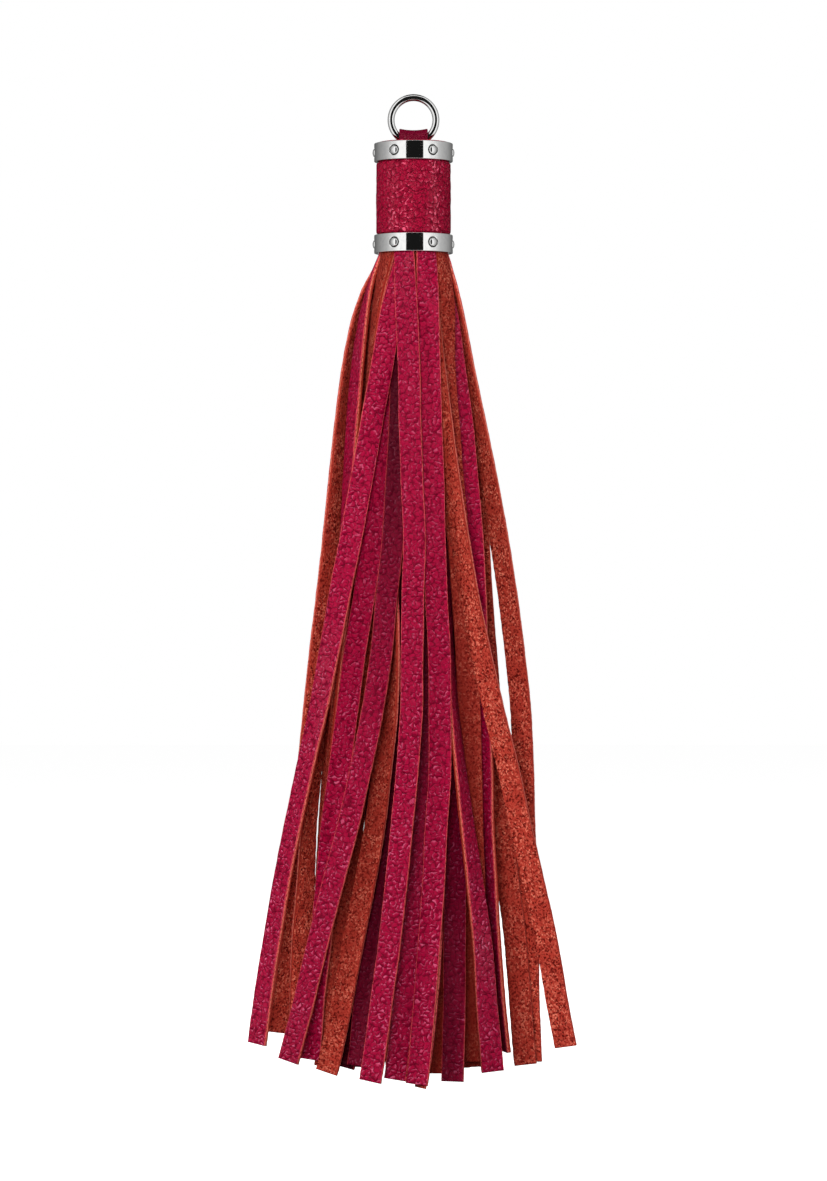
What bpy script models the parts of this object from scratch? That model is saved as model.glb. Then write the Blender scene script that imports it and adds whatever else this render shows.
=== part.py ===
# A long leather tassel that hangs from a steel O-ring: a short cylindrical head, wrapped in pebbled
# leather between two riveted metal collars, and a fringe of flat leather strips cut from one rolled band.
# The origin is the hanging point, the inside of the ring's top. Z is up and the front looks along -Y.
import math
from collections import namedtuple

import bmesh
import bpy
import numpy as np
from mathutils import Matrix, Vector

for old in list(bpy.data.objects):
    bpy.data.objects.remove(old, do_unlink=True)

MM = 0.001
GAP = 0.3 * MM  # clearance between neighbouring pieces

# Ring and tab
RING_INNER = 5.6 * MM
RING_WIRE = 1.02 * MM
RING_STEPS = 48
WIRE_STEPS = 12
TAB_WIDTH = 8.4 * MM
TAB_PLY = 0.9 * MM
TAB_TOP = -8.6 * MM
TAB_CORNER_RISE = 0.5 * MM  # the strap rests on the curved wire at its two edges
TAB_FOOT = -24.7 * MM
TAB_BEND_STEPS = 8
TAB_WIDTH_STEPS = 6

# Head: radii from its axis, heights from the hanging point
RIM = -12.3 * MM
WRAP_FOOT = -41.5 * MM
WRAP_INNER = 9.7 * MM
WRAP_TUCKED = 10.4 * MM
WRAP_OUTER = 11.05 * MM
TUCK_OUT = 0.6  # where the tucked corner bends, as shares of its depth outwards
TUCK_ALONG = 0.25  # and along the head
COLLAR_INNER = 10.7 * MM
COLLAR_OUTER = 11.6 * MM
COLLAR_HEIGHT = 5.4 * MM
COLLAR_CHAMFER = 0.2 * MM
COLLAR_TOPS = {"collar_top": -12.6 * MM, "collar_bottom": -39.6 * MM}
HEAD_STEPS = 60
RIVETS = 6
FIRST_RIVET = 30  # degrees round from the front
RIVET_RADIUS = 1.2 * MM
RIVET_BASE = 10.85 * MM
RIVET_SHOULDER = 11.45 * MM
RIVET_TOP = 12.07 * MM
RIVET_STEPS = 12
RIVET_DOME_STEPS = 3
RIVET_HOLE = RIVET_RADIUS + GAP
CORE_RADIUS = 9.4 * MM
CORE_TOP = -14.4 * MM
CORE_FOOT = -44.2 * MM
POCKET_FOOT = TAB_FOOT - GAP

# Fringe, in millimetres until its mesh is made
FRINGE_TOP = -45.0  # the lower edge of the bottom collar
STRIP_WIDTH = 6.4
STRIP_THICKNESS = 1.5
LAYER_RADII = (9.15, 7.35, 5.55, 3.75, 1.75)  # of the band's rolled turns, where they leave the head
ROOT_WIDTHS = (5.7, 4.0, 3.4, 2.8, 1.9)  # of the strips in each turn, where they are packed together
FULL_WIDTH_DROP = 20
NECK = 0.87  # the turns are this much closer inside the head
SIDE_DROPS = (45, 90, 140, 190, 240)
TURN_DROPS = (45, 140, 240)
DEPTH_FLARE = 1.8  # the strips spread this much faster at the roots than down to their first fold
FACE_FLARE = 1.6  # and their faces turn this much faster
# drops below the fringe's top, the first of them inside the core
LEVELS = (-4.5, 0, 5, 10, 16, 23, 31, 40, 50, 61, 73, 86)
LEVELS += (100, 114, 128, 142, 156, 170, 184, 198, 212, 226, 238, 246)
FREE_FROM = 2  # the first level where the strips part
EASE_ROUNDS = 400
EASE_APART = 0.55  # distance kept between two strips
PUSH_SHARE = 0.3  # of the missing distance, made up in one round
MOST_PUSH = 0.6
PULL_BACK = 0.06  # share of the way back to the wanted place in the first round
TURN_BACK = 0.05
FIRST_SMOOTHING = 0.25
LAST_SMOOTHING = 0.02
SIDEWAYS_SHARE = 0.3  # crossing strips part mostly front to back

# One row for each strip. layer and root place it in the roll, root in degrees round from the front, and
# flare is how much faster than its first fold it spreads there. side is how far right of the middle it
# hangs at each of SIDE_DROPS. depth is how far behind the middle, and face is where its grain side looks,
# 0 to the front and 90 to the right, at each of TURN_DROPS. length is along the strip.
Strip = namedtuple("Strip", "layer root flare side depth face length")
STRIPS = (
    Strip(0, -17, 1.4, (-0.8, 0.6, -0.2, -5.2, -12.4), (-15, -19, -22), (-5, -8, -15), 243.5),
    Strip(0, 23, 1.4, (4.8, 6.2, 8.9, 5.6, 1.0), (-14, -16, -19), (8, 0, -18), 244),
    Strip(0, 62, 1.4, (8.4, 13.3, 15.6, 18.3, 17.7), (-9, -8, -3), (-165, -182, -176), 239),
    Strip(0, 101, 1.6, (17.0, 26.8, 33.2, 33.2, 34.8), (-2, 2, 6), (128, 150, 168), 241.5),
    Strip(0, 142, 1.6, (17.7, 18.8, 23.0, 28.9, 33.4), (6, 4, 2), (150, 165, 175), 242),
    Strip(0, 184, 1.4, (1, 3, 6, 8, 9), (16, 20, 22), (178, 172, 186), 243),
    Strip(0, 228, 3, (-20.7, -23.9, -31.0, -32.8, -43.0), (3, -4, -5), (-122, -150, -150), 233.5),
    Strip(0, -90, 3, (-17.4, -19.3, -28.3, -32.7, -33.8), (-4, -6, -5), (-52, -110, -165), 239),
    Strip(0, -54, 3, (-12.7, -18.2, -25.2, -28.2, -29.5), (-8, -8, -4), (105, 115, 120), 237.5),
    Strip(1, 15, 1.4, (7.0, 13.6, 24.3, 37.2, 46.2), (-12, -15, -14), (125, 158, 160), 237),
    Strip(1, 62, 1.4, (13.1, 18.0, 20.1, 21.8, 28.3), (-5, -6, -2), (15, -35, -80), 236.5),
    Strip(1, 105, 1.4, (11, 13, 14, 15, 16), (2, 5, 9), (105, 120, 140), 240.5),
    Strip(1, 145, 1.4, (9, 11, 14, 17, 19), (9, 11, 13), (150, 160, 150), 242),
    Strip(1, 187, 1.4, (-3, -4, -5, -5, -5), (11, 13, 15), (187, 190, 180), 242.5),
    Strip(1, 229, 1.6, (-11, -14, -18, -21, -22), (12, 15, 18), (215, 205, 200), 241.5),
    Strip(1, -95, 1.8, (-14.5, -19.5, -24, -25, -24.5), (3, 5, 8), (-145, -160, -160), 240),
    Strip(1, -57, 1.4, (-4.9, -12.4, -20.6, -26.5, -30.7), (-8.5, -12, -8), (-10, -20, -25), 239),
    Strip(1, -22, 1.4, (-10.2, -18.8, -28.9, -40.2, -47.5), (-11.5, -14.5, -12), (20, -48, -36), 236.5),
    Strip(2, -30, 1.4, (-3.4, -5.7, -11.1, -25.0, -38.0), (-10.4, -15, -14), (-15, -12, -28), 241),
    Strip(2, 30, 1.4, (8.5, 11.0, 11.0, 19.5, 23.2), (-5, -13, -11), (25, 75, 5), 241.5),
    Strip(2, 85, 1.4, (9.0, 11.5, 12.0, 14.5, 16.5), (-2, -4, 0), (120, 172, 180), 240.5),
    Strip(2, 145, 1.4, (6, 7, 8, 11, 14), (6, 7, 9), (150, 160, 170), 241.5),
    Strip(2, 205, 1.4, (-7, -8, -10, -12, -15), (5, 6, 9), (200, 205, 190), 241.5),
    Strip(2, -90, 1.4, (-8.0, -9.5, -14.5, -20.4, -27.0), (-5, -7, -5), (-115, -160, -170), 240.5),
    Strip(3, -25, 1.4, (-5.0, -3.7, -6.3, -14.7, -25.7), (-8.4, -11.5, -11), (-5, 148, 155), 242.5),
    Strip(3, 50, 1.4, (5.5, 8.0, 9.5, 12.0, 11.4), (-3, -8.5, -12), (25, 2, -10), 243.5),
    Strip(3, 150, 1.4, (2, 2, 1, 2, 5), (3, 6, 7), (150, 165, 180), 242),
    Strip(3, -110, 1.4, (-6.5, -8.5, -9.5, -11.8, -21.0), (0, -4, -5), (-70, -28, -24), 240.5),
    Strip(4, 0, 1.4, (2.0, 2.8, 4.1, 0.0, -5.4), (-6, -11, -16), (5, -10, -15), 243),
    Strip(4, 90, 1.4, (3.5, 7.0, 10.0, 11.2, 2.7), (-2, -8, -15), (90, 95, 110), 245.5),
    Strip(4, -90, 1.4, (-3, -3.5, -5, -10.0, -17.1), (-3, -8, -12), (-50, -22, -20), 239.5),
    Strip(4, 180, 1.4, (0, 2, 4, 7.0, 6.8), (1, -2, -7), (180, 180, 175), 241.5),
)


def material(name, colour, roughness, metallic=0.0):
    made = bpy.data.materials.new(name)
    made.use_nodes = True
    shader = made.node_tree.nodes["Principled BSDF"]
    shader.inputs["Base Color"].default_value = (*colour, 1.0)
    shader.inputs["Roughness"].default_value = roughness
    shader.inputs["Metallic"].default_value = metallic
    return made


def add_object(name, bm, finish, smooth_angle=40):
    bmesh.ops.recalc_face_normals(bm, faces=bm.faces)
    mesh = bpy.data.meshes.new(name)
    bm.to_mesh(mesh)
    bm.free()
    mesh.shade_smooth()
    mesh.set_sharp_from_angle(angle=math.radians(smooth_angle))
    made = bpy.data.objects.new(name, mesh)
    made.data.materials.append(finish)
    bpy.context.scene.collection.objects.link(made)
    return made


def bridge_rings(bm, rings, closed=True):
    # Joins each ring of vertices to the next with quads.
    pairs = list(zip(rings, rings[1:]))
    if closed:
        pairs.append((rings[-1], rings[0]))
    for ring, following in pairs:
        for step in range(len(ring)):
            after = (step + 1) % len(ring)
            bm.faces.new((ring[step], ring[after], following[after], following[step]))


def turned_band(profile, steps):
    # A closed profile of (radius, height) points turned about Z.
    bm = bmesh.new()
    rings = []
    for step in range(steps):
        angle = math.tau * step / steps
        rings.append([bm.verts.new((r * math.cos(angle), r * math.sin(angle), z)) for r, z in profile])
    bridge_rings(bm, rings)
    return bm


def around(degrees, radius=1.0, height=0.0):
    # The point at this angle round from the front, positive to the right.
    angle = math.radians(degrees)
    return Vector((radius * math.sin(angle), -radius * math.cos(angle), height))


def cut_with(target, bm, name):
    cutter = add_object(name, bm, target.data.materials[0])
    cutter.hide_render = True
    cutter.display_type = "WIRE"
    cut = target.modifiers.new(name, "BOOLEAN")
    cut.operation = "DIFFERENCE"
    cut.object = cutter
    cut.solver = "EXACT"


def build_ring(steel):
    middle = RING_INNER + RING_WIRE
    bm = bmesh.new()
    rings = []
    for step in range(RING_STEPS):
        angle = math.tau * step / RING_STEPS
        out = Vector((math.sin(angle), 0.0, math.cos(angle)))
        centre = Vector((0.0, 0.0, -RING_INNER)) + middle * out
        wire = []
        for turn in range(WIRE_STEPS):
            swing = math.tau * turn / WIRE_STEPS
            reach = math.cos(swing) * out + Vector((0.0, math.sin(swing), 0.0))
            wire.append(bm.verts.new(centre + RING_WIRE * reach))
        rings.append(wire)
    bridge_rings(bm, rings)
    return add_object("ring", bm, steel)


def build_tab(leather):
    # A strap bent over the ring's wire, swept across its width as front and back outlines.
    inner = RING_WIRE + GAP
    outer = inner + TAB_PLY
    bend = [math.pi * step / TAB_BEND_STEPS for step in range(TAB_BEND_STEPS + 1)]
    bm = bmesh.new()
    sections = []
    for step in range(TAB_WIDTH_STEPS + 1):
        across = 2 * step / TAB_WIDTH_STEPS - 1
        bend_height = TAB_TOP + TAB_CORNER_RISE * across**2 - outer
        outline = [(-outer, TAB_FOOT)]
        outline += [(-outer * math.cos(a), bend_height + outer * math.sin(a)) for a in bend]
        outline += [(outer, TAB_FOOT), (inner, TAB_FOOT)]
        outline += [(inner * math.cos(a), bend_height + inner * math.sin(a)) for a in bend]
        outline += [(-inner, TAB_FOOT)]
        sections.append([bm.verts.new((across * TAB_WIDTH / 2, y, z)) for y, z in outline])
    bridge_rings(bm, sections, closed=False)
    for section in (sections[0], sections[-1]):
        # Each side is the band between the outer and the inner outline, so it is closed strip by strip.
        count = len(section) // 2
        for step in range(count - 1):
            bm.faces.new((section[step], section[step + 1], section[-2 - step], section[-1 - step]))
    return add_object("tab", bm, leather)


def build_wrap(leather):
    shoulder_top = COLLAR_TOPS["collar_top"] - COLLAR_HEIGHT
    shoulder_foot = COLLAR_TOPS["collar_bottom"]
    rounding = WRAP_OUTER - WRAP_TUCKED
    profile = (
        (WRAP_INNER, RIM),
        (WRAP_INNER, WRAP_FOOT),
        (WRAP_TUCKED, WRAP_FOOT),
        (WRAP_TUCKED, shoulder_foot + GAP),
        (WRAP_TUCKED + rounding * TUCK_OUT, shoulder_foot + GAP + rounding * TUCK_ALONG),
        (WRAP_OUTER, shoulder_foot + GAP + rounding),
        (WRAP_OUTER, shoulder_top - GAP - rounding),
        (WRAP_TUCKED + rounding * TUCK_OUT, shoulder_top - GAP - rounding * TUCK_ALONG),
        (WRAP_TUCKED, shoulder_top - GAP),
        (WRAP_TUCKED, RIM),
    )
    return add_object("head_wrap", turned_band(profile, HEAD_STEPS), leather)


def build_collar(name, steel):
    top = COLLAR_TOPS[name]
    foot = top - COLLAR_HEIGHT
    profile = (
        (COLLAR_INNER, top),
        (COLLAR_INNER, foot),
        (COLLAR_OUTER - COLLAR_CHAMFER, foot),
        (COLLAR_OUTER, foot + COLLAR_CHAMFER),
        (COLLAR_OUTER, top - COLLAR_CHAMFER),
        (COLLAR_OUTER - COLLAR_CHAMFER, top),
    )
    collar = add_object(name, turned_band(profile, HEAD_STEPS), steel)
    holes = bmesh.new()
    for number in range(RIVETS):
        direction = around(FIRST_RIVET + 360 / RIVETS * number)
        place = Matrix.Translation(direction * COLLAR_OUTER + Vector((0, 0, top - COLLAR_HEIGHT / 2)))
        bmesh.ops.create_cone(
            holes,
            cap_ends=True,
            segments=RIVET_STEPS,
            radius1=RIVET_HOLE,
            radius2=RIVET_HOLE,
            depth=4 * (COLLAR_OUTER - COLLAR_INNER),
            matrix=place @ direction.to_track_quat("Z", "Y").to_matrix().to_4x4(),
        )
    cut_with(collar, holes, name + "_rivet_holes")
    return collar


def build_rivets(name, collar_name, steel):
    # A short shank with a low dome, turned about the radius that it stands on.
    rise = RIVET_TOP - RIVET_SHOULDER
    outline = [(RIVET_RADIUS, RIVET_BASE)]
    for step in range(RIVET_DOME_STEPS):
        angle = math.pi / 2 * step / RIVET_DOME_STEPS
        outline.append((RIVET_RADIUS * math.cos(angle), RIVET_SHOULDER + rise * math.sin(angle)))
    height = COLLAR_TOPS[collar_name] - COLLAR_HEIGHT / 2
    for number in range(RIVETS):
        bm = bmesh.new()
        rings = []
        for radius, distance in outline:
            angles = [math.tau * step / RIVET_STEPS for step in range(RIVET_STEPS)]
            circle = [(radius * math.cos(a), radius * math.sin(a), distance) for a in angles]
            rings.append([bm.verts.new(point) for point in circle])
        bridge_rings(bm, rings, closed=False)
        bm.faces.new(rings[0])
        crown = bm.verts.new((0, 0, RIVET_TOP))
        for step in range(RIVET_STEPS):
            bm.faces.new((rings[-1][step], rings[-1][(step + 1) % RIVET_STEPS], crown))
        rivet = add_object(f"{name}_{number + 1}", bm, steel)
        direction = around(FIRST_RIVET + 360 / RIVETS * number)
        rivet.rotation_mode = "QUATERNION"
        rivet.rotation_quaternion = direction.to_track_quat("Z", "Y")
        rivet.location = (0, 0, height)


def smooth_through(knots, values, at, first_slope=None):
    # Reads a smooth curve through values (knots x columns) at other places, with slopes from neighbours.
    knots = np.asarray(knots, float)
    values = np.asarray(values, float)
    chords = np.diff(values, axis=0) / np.diff(knots)[:, None]
    slopes = np.vstack((chords[:1], (chords[1:] + chords[:-1]) / 2, chords[-1:]))
    if first_slope is not None:
        slopes[0] = first_slope * chords[0]
    at = np.clip(np.asarray(at, float), knots[0], None)
    left = np.clip(np.searchsorted(knots, at, side="right") - 1, 0, len(knots) - 2)
    span = (knots[left + 1] - knots[left])[:, None]
    t = (at - knots[left])[:, None] / span
    beyond = np.clip(t - 1, 0, None) * span
    t = np.minimum(t, 1)
    rest = t - 1
    return (
        values[left] * (1 + 2 * t) * rest**2
        + slopes[left] * span * t * rest**2
        + values[left + 1] * t**2 * (3 - 2 * t)
        + slopes[left + 1] * span * t**2 * rest
        + slopes[left + 1] * beyond
    )


def wanted_paths():
    # The middle of each strip (strips x levels x 2) and where its grain looks, in radians.
    levels = np.array(LEVELS, float)
    middles = []
    faces = []
    for strip in STRIPS:
        root = math.radians(strip.root)
        start = LAYER_RADII[strip.layer] * np.array((math.sin(root), -math.cos(root)))
        sides = [[start[0]], *([x] for x in strip.side)]
        depths = [[start[1]], *([y] for y in strip.depth)]
        side = smooth_through((0, *SIDE_DROPS), sides, levels, strip.flare)
        depth = smooth_through((0, *TURN_DROPS), depths, levels, DEPTH_FLARE)
        middle = np.hstack((side, depth))
        middle[0] = start * NECK
        first = strip.face[0]
        # Either side may face out at the root, and the face turns the shorter way to the first fold.
        ways = [strip.root + 180 * half_turns for half_turns in range(-3, 4)]
        from_root = min(ways, key=lambda angle: abs(angle - first))
        angles = [[from_root], *([angle] for angle in strip.face)]
        face = smooth_through((0, *TURN_DROPS), angles, levels, FACE_FLARE)
        middles.append(middle)
        faces.append(np.radians(face[:, 0]))
    return np.array(middles), np.array(faces)


def strip_widths():
    # Each strip's width at each level (strips x levels).
    roots = np.array([ROOT_WIDTHS[strip.layer] for strip in STRIPS])[:, None]
    growth = np.clip(np.array(LEVELS, float) / FULL_WIDTH_DROP, 0, 1)
    return roots + (STRIP_WIDTH - roots) * growth**2 * (3 - 2 * growth)


def nearest_on(point, start, along):
    # How far along a segment, from 0 to 1, the nearest place to a point lies.
    length = (along**2).sum(-1)
    return np.clip(((point - start) * along).sum(-1) / length, 0, 1)


def ease_apart(middles, faces):
    # Moves the strips' cross-sections, level by level, until none is nearer another than EASE_APART,
    # while each keeps its width, runs smoothly down its levels and stays near its wanted place.
    first, second = np.triu_indices(len(STRIPS), 1)
    half = (strip_widths()[..., None] - STRIP_THICKNESS) / 2
    needed = STRIP_THICKNESS + EASE_APART
    wanted = middles.copy()
    wanted_across = np.stack((np.cos(faces), np.sin(faces)), -1)
    across = wanted_across.copy()
    for turn in range(EASE_ROUNDS):
        loose = 1 - turn / EASE_ROUNDS
        a = middles - half * across
        b = middles + half * across
        push_a = np.zeros_like(a)
        push_b = np.zeros_like(b)
        a1, b1, a2, b2 = a[first], b[first], a[second], b[second]
        options = []
        for point, share_1 in ((a1, 0.0), (b1, 1.0)):
            t = nearest_on(point, a2, b2 - a2)
            options.append((point - (a2 + t[..., None] * (b2 - a2)), np.full(t.shape, share_1), t))
        for point, share_2 in ((a2, 0.0), (b2, 1.0)):
            t = nearest_on(point, a1, b1 - a1)
            options.append(((a1 + t[..., None] * (b1 - a1)) - point, t, np.full(t.shape, share_2)))
        away = np.stack([o[0] for o in options])
        distance = np.linalg.norm(away, axis=-1)
        best = distance.argmin(0)[None]
        away = np.take_along_axis(away, best[..., None], 0)[0]
        distance = np.take_along_axis(distance, best, 0)[0]
        along_1 = np.take_along_axis(np.stack([o[1] for o in options]), best, 0)[0]
        along_2 = np.take_along_axis(np.stack([o[2] for o in options]), best, 0)[0]
        # Two crossing sections part along the line between their middles.
        d1, d2, between = b1 - a1, b2 - a2, a2 - a1
        cross = d1[..., 0] * d2[..., 1] - d1[..., 1] * d2[..., 0]
        cross = np.where(np.abs(cross) < 1e-9, 1e-9, cross)
        s = (between[..., 0] * d2[..., 1] - between[..., 1] * d2[..., 0]) / cross
        t = (between[..., 0] * d1[..., 1] - between[..., 1] * d1[..., 0]) / cross
        crossing = (s > 0) & (s < 1) & (t > 0) & (t < 1)
        apart = middles[first] - middles[second]
        apart[..., 0] *= SIDEWAYS_SHARE
        apart /= np.linalg.norm(apart, axis=-1, keepdims=True) + 1e-9
        direction = np.where(crossing[..., None], apart, away / (distance[..., None] + 1e-9))
        lack = np.where(crossing, needed, np.clip(needed - distance, 0, None)) * PUSH_SHARE
        for index, along, sign in ((first, along_1, 1), (second, along_2, -1)):
            along = np.where(crossing, 0.5, along)
            weight = (1 - along) ** 2 + along**2
            move = sign * direction * lack[..., None] / weight[..., None] / 2
            np.add.at(push_a, index, move * (1 - along)[..., None])
            np.add.at(push_b, index, move * along[..., None])
        a += np.clip(push_a, -MOST_PUSH, MOST_PUSH)
        b += np.clip(push_b, -MOST_PUSH, MOST_PUSH)
        moved = (a + b) / 2
        turned = (b - a) / np.linalg.norm(b - a, axis=-1, keepdims=True)
        moved += PULL_BACK * loose * (wanted - moved)
        turned += TURN_BACK * loose * (wanted_across - turned)
        smooth = LAST_SMOOTHING + (FIRST_SMOOTHING - LAST_SMOOTHING) * loose
        for field in (moved, turned):
            middle = (field[:, :-2] + field[:, 2:]) / 2
            field[:, 1:-1] += smooth * (middle - field[:, 1:-1])
        turned /= np.linalg.norm(turned, axis=-1, keepdims=True)
        middles[:, FREE_FROM:] = moved[:, FREE_FROM:]
        across[:, FREE_FROM:] = turned[:, FREE_FROM:]
    return middles, across


def strip_stations(middle, across, widths, length):
    # Middle, across and face directions and width down one strip, cut off square at its length.
    down = FRINGE_TOP - np.array(LEVELS, float)
    places = np.column_stack((middle, down))
    steps = np.linalg.norm(np.diff(places, axis=0), axis=1)
    run = np.concatenate(([0], np.cumsum(steps))) + LEVELS[0]
    last = int(np.searchsorted(run, length - 2))
    share = (length - run[last - 1]) / (run[last] - run[last - 1])
    tip = places[last - 1] + share * (places[last] - places[last - 1])
    places = np.vstack((places[:last], tip))
    across = np.column_stack((across, np.zeros(len(across))))
    across = np.vstack((across[:last], across[last]))
    along = np.gradient(places, axis=0)
    along /= np.linalg.norm(along, axis=1, keepdims=True)
    across -= (across * along).sum(1, keepdims=True) * along
    across /= np.linalg.norm(across, axis=1, keepdims=True)
    return places, across * np.append(widths[:last], STRIP_WIDTH)[:, None], np.cross(across, along)


def build_fringe(leather):
    # The rolled band inside the head, with its strips let into its lower end as one piece of leather.
    core = bmesh.new()
    bmesh.ops.create_cone(
        core,
        cap_ends=True,
        segments=HEAD_STEPS,
        radius1=CORE_RADIUS,
        radius2=CORE_RADIUS,
        depth=CORE_TOP - CORE_FOOT,
        matrix=Matrix.Translation((0, 0, (CORE_TOP + CORE_FOOT) / 2)),
    )
    fringe = add_object("fringe", core, leather)

    middles, across = ease_apart(*wanted_paths())
    widths = strip_widths()
    strips = bmesh.new()
    corners = ((-1, 1), (1, 1), (1, -1), (-1, -1))
    for number, strip in enumerate(STRIPS):
        places, wide, thick = strip_stations(middles[number], across[number], widths[number], strip.length)
        rings = []
        for place, w, n in zip(places, wide, thick):
            ring = [place + (u * w + v * STRIP_THICKNESS * n) / 2 for u, v in corners]
            rings.append([strips.verts.new(point * MM) for point in ring])
        bridge_rings(strips, rings, closed=False)
        strips.faces.new(rings[0])
        strips.faces.new(rings[-1])
    hanging = add_object("fringe_strips", strips, leather)
    hanging.hide_render = True
    hanging.display_type = "WIRE"
    join = fringe.modifiers.new("strips", "BOOLEAN")
    join.operation = "UNION"
    join.object = hanging
    join.solver = "EXACT"
    join.use_self = True

    # Two slots in the core's top take the tab's legs.
    slots = bmesh.new()
    inner = RING_WIRE
    outer = RING_WIRE + 2 * GAP + TAB_PLY
    size = Vector((TAB_WIDTH + 2 * GAP, outer - inner + GAP, 2 * (CORE_TOP - POCKET_FOOT)))
    for side in (-1, 1):
        place = Matrix.Translation((0, side * (inner + outer + GAP) / 2, POCKET_FOOT + size.z / 2))
        bmesh.ops.create_cube(slots, size=1, matrix=place @ Matrix.Diagonal((*size, 1)))
    cut_with(fringe, slots, "tab_slots")
    return fringe


steel = material("polished_steel", (0.62, 0.62, 0.61), 0.12, 1.0)
grain = material("crimson_leather", (0.34, 0.012, 0.045), 0.5)
band = material("crimson_band", (0.33, 0.02, 0.04), 0.6)

build_ring(steel)
build_tab(grain)
build_wrap(grain)
for level in ("top", "bottom"):
    build_collar(f"collar_{level}", steel)
    build_rivets(f"rivet_{level}", f"collar_{level}", steel)
build_fringe(band)
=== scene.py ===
import math

import bpy
import numpy as np
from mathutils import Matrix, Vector


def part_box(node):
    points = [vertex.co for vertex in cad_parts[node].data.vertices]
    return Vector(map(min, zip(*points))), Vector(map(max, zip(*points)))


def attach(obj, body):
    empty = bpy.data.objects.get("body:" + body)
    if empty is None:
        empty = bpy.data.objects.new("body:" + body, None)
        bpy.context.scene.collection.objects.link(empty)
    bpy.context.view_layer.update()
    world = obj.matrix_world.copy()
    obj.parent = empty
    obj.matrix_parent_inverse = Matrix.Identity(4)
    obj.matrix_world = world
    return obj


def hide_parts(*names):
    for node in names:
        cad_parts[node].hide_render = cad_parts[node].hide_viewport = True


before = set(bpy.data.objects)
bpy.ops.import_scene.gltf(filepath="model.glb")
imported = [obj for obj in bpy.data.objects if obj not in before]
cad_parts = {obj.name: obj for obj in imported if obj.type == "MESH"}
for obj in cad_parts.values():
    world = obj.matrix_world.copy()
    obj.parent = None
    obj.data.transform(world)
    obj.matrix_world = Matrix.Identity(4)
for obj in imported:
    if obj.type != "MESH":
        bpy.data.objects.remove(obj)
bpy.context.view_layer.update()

mm = 0.001
flatMap = "leatherMm"  # the map of each piece laid out flat, its places in millimetres
print("frame loaded")


class Wire:
    # One socket of a finish. An expression on wires and numbers adds the Math nodes for it.
    def __init__(self, finish, socket):
        self.finish = finish
        self.socket = socket

    def maths(self, operation, first, second):
        return self.finish.add("Math", {"operation": operation}, {0: first, 1: second})

    def __add__(self, other):
        return self.maths("ADD", self, other)

    def __radd__(self, other):
        return self.maths("ADD", other, self)

    def __sub__(self, other):
        return self.maths("SUBTRACT", self, other)

    def __rsub__(self, other):
        return self.maths("SUBTRACT", other, self)

    def __mul__(self, other):
        return self.maths("MULTIPLY", self, other)

    def __rmul__(self, other):
        return self.maths("MULTIPLY", other, self)


class Finish:
    # A material being made. add makes any node: its settings first, then its sockets' values or wires.
    def __init__(self, name):
        self.material = bpy.data.materials.new(name)
        self.material.use_nodes = True
        self.tree = self.material.node_tree
        self.tree.nodes.clear()

    def add(self, kind, settings=None, values=None, output=0):
        node = self.tree.nodes.new("ShaderNode" + kind)
        for name, setting in (settings or {}).items():
            setattr(node, name, setting)
        for name, value in (values or {}).items():
            if isinstance(value, Wire):
                self.tree.links.new(value.socket, node.inputs[name])
            else:
                node.inputs[name].default_value = value
        return Wire(self, node.outputs[output]) if len(node.outputs) else None

    def flat(self):
        return self.add("UVMap", {"uv_map": flatMap})

    def place(self, axis=None):
        # the Object coordinates in metres, or only the one along an axis
        place = self.add("TexCoord", output="Object")
        return self.add("SeparateXYZ", {}, {0: place}, axis) if axis else place

    def byHeight(self, low, high, lowOut, highOut):
        return self.rise(self.place("Z"), low * mm, high * mm, lowOut, highOut)

    def number(self, name):
        # a number that the mesh holds for each of its points
        return self.add("Attribute", {"attribute_name": name}, output="Fac")

    def noise(self, vector, scale, roughness=0.5, detail=2.0, output="Fac"):
        values = {"Vector": vector, "Scale": scale, "Detail": detail, "Roughness": roughness}
        return self.add("TexNoise", {"noise_dimensions": "2D"}, values, output)

    def cells(self, vector, scale, output, feature="F1"):
        values = {"Vector": vector, "Scale": scale}
        return self.add("TexVoronoi", {"voronoi_dimensions": "2D", "feature": feature}, values, output)

    def vectors(self, operation, first, second, output=0):
        return self.add("VectorMath", {"operation": operation}, {0: first, 1: second}, output)

    def stretch(self, vector, across, along):
        # a vector's third number, for which a flat map has no use, becomes 0
        return self.vectors("MULTIPLY", vector, (across, along, 0.0))

    def centred(self, colour):
        # a random colour as a random direction
        return self.vectors("SUBTRACT", colour, (0.5, 0.5, 0.5))

    def drift(self, vector, scale, amount):
        # the same map with each place moved a little at random
        colour = self.noise(vector, scale, detail=1.0, output="Color")
        return self.vectors("ADD", vector, self.vectors("MULTIPLY", self.centred(colour), (amount,) * 3))

    def rise(self, value, low, high, lowOut=0.0, highOut=1.0):
        # a smooth step from lowOut to highOut, as the value goes from low to high
        values = {"Value": value, "From Min": low, "From Max": high, "To Min": lowOut, "To Max": highOut}
        return self.add("MapRange", {"interpolation_type": "SMOOTHSTEP"}, values)

    def blend(self, share, first, second):
        return self.add("Mix", {"data_type": "RGBA"}, {0: share, 6: first, 7: second}, 2)

    def hidden(self, colour, deep, rise):
        # painted shade: strips inside the fringe, whose tone is high, turn to a deeper colour
        return self.blend(self.rise(self.number("tone"), *rise), colour, deep)

    def bump(self, height, depth, strength=1.0):
        return self.add("Bump", {}, {"Height": height, "Distance": depth * mm, "Strength": strength})

    def shade(self, **values):
        named = {key.replace("_", " "): value for key, value in values.items()}
        surface = self.add("BsdfPrincipled", {}, named)
        self.add("OutputMaterial", {}, {"Surface": surface})
        return self.material


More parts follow.
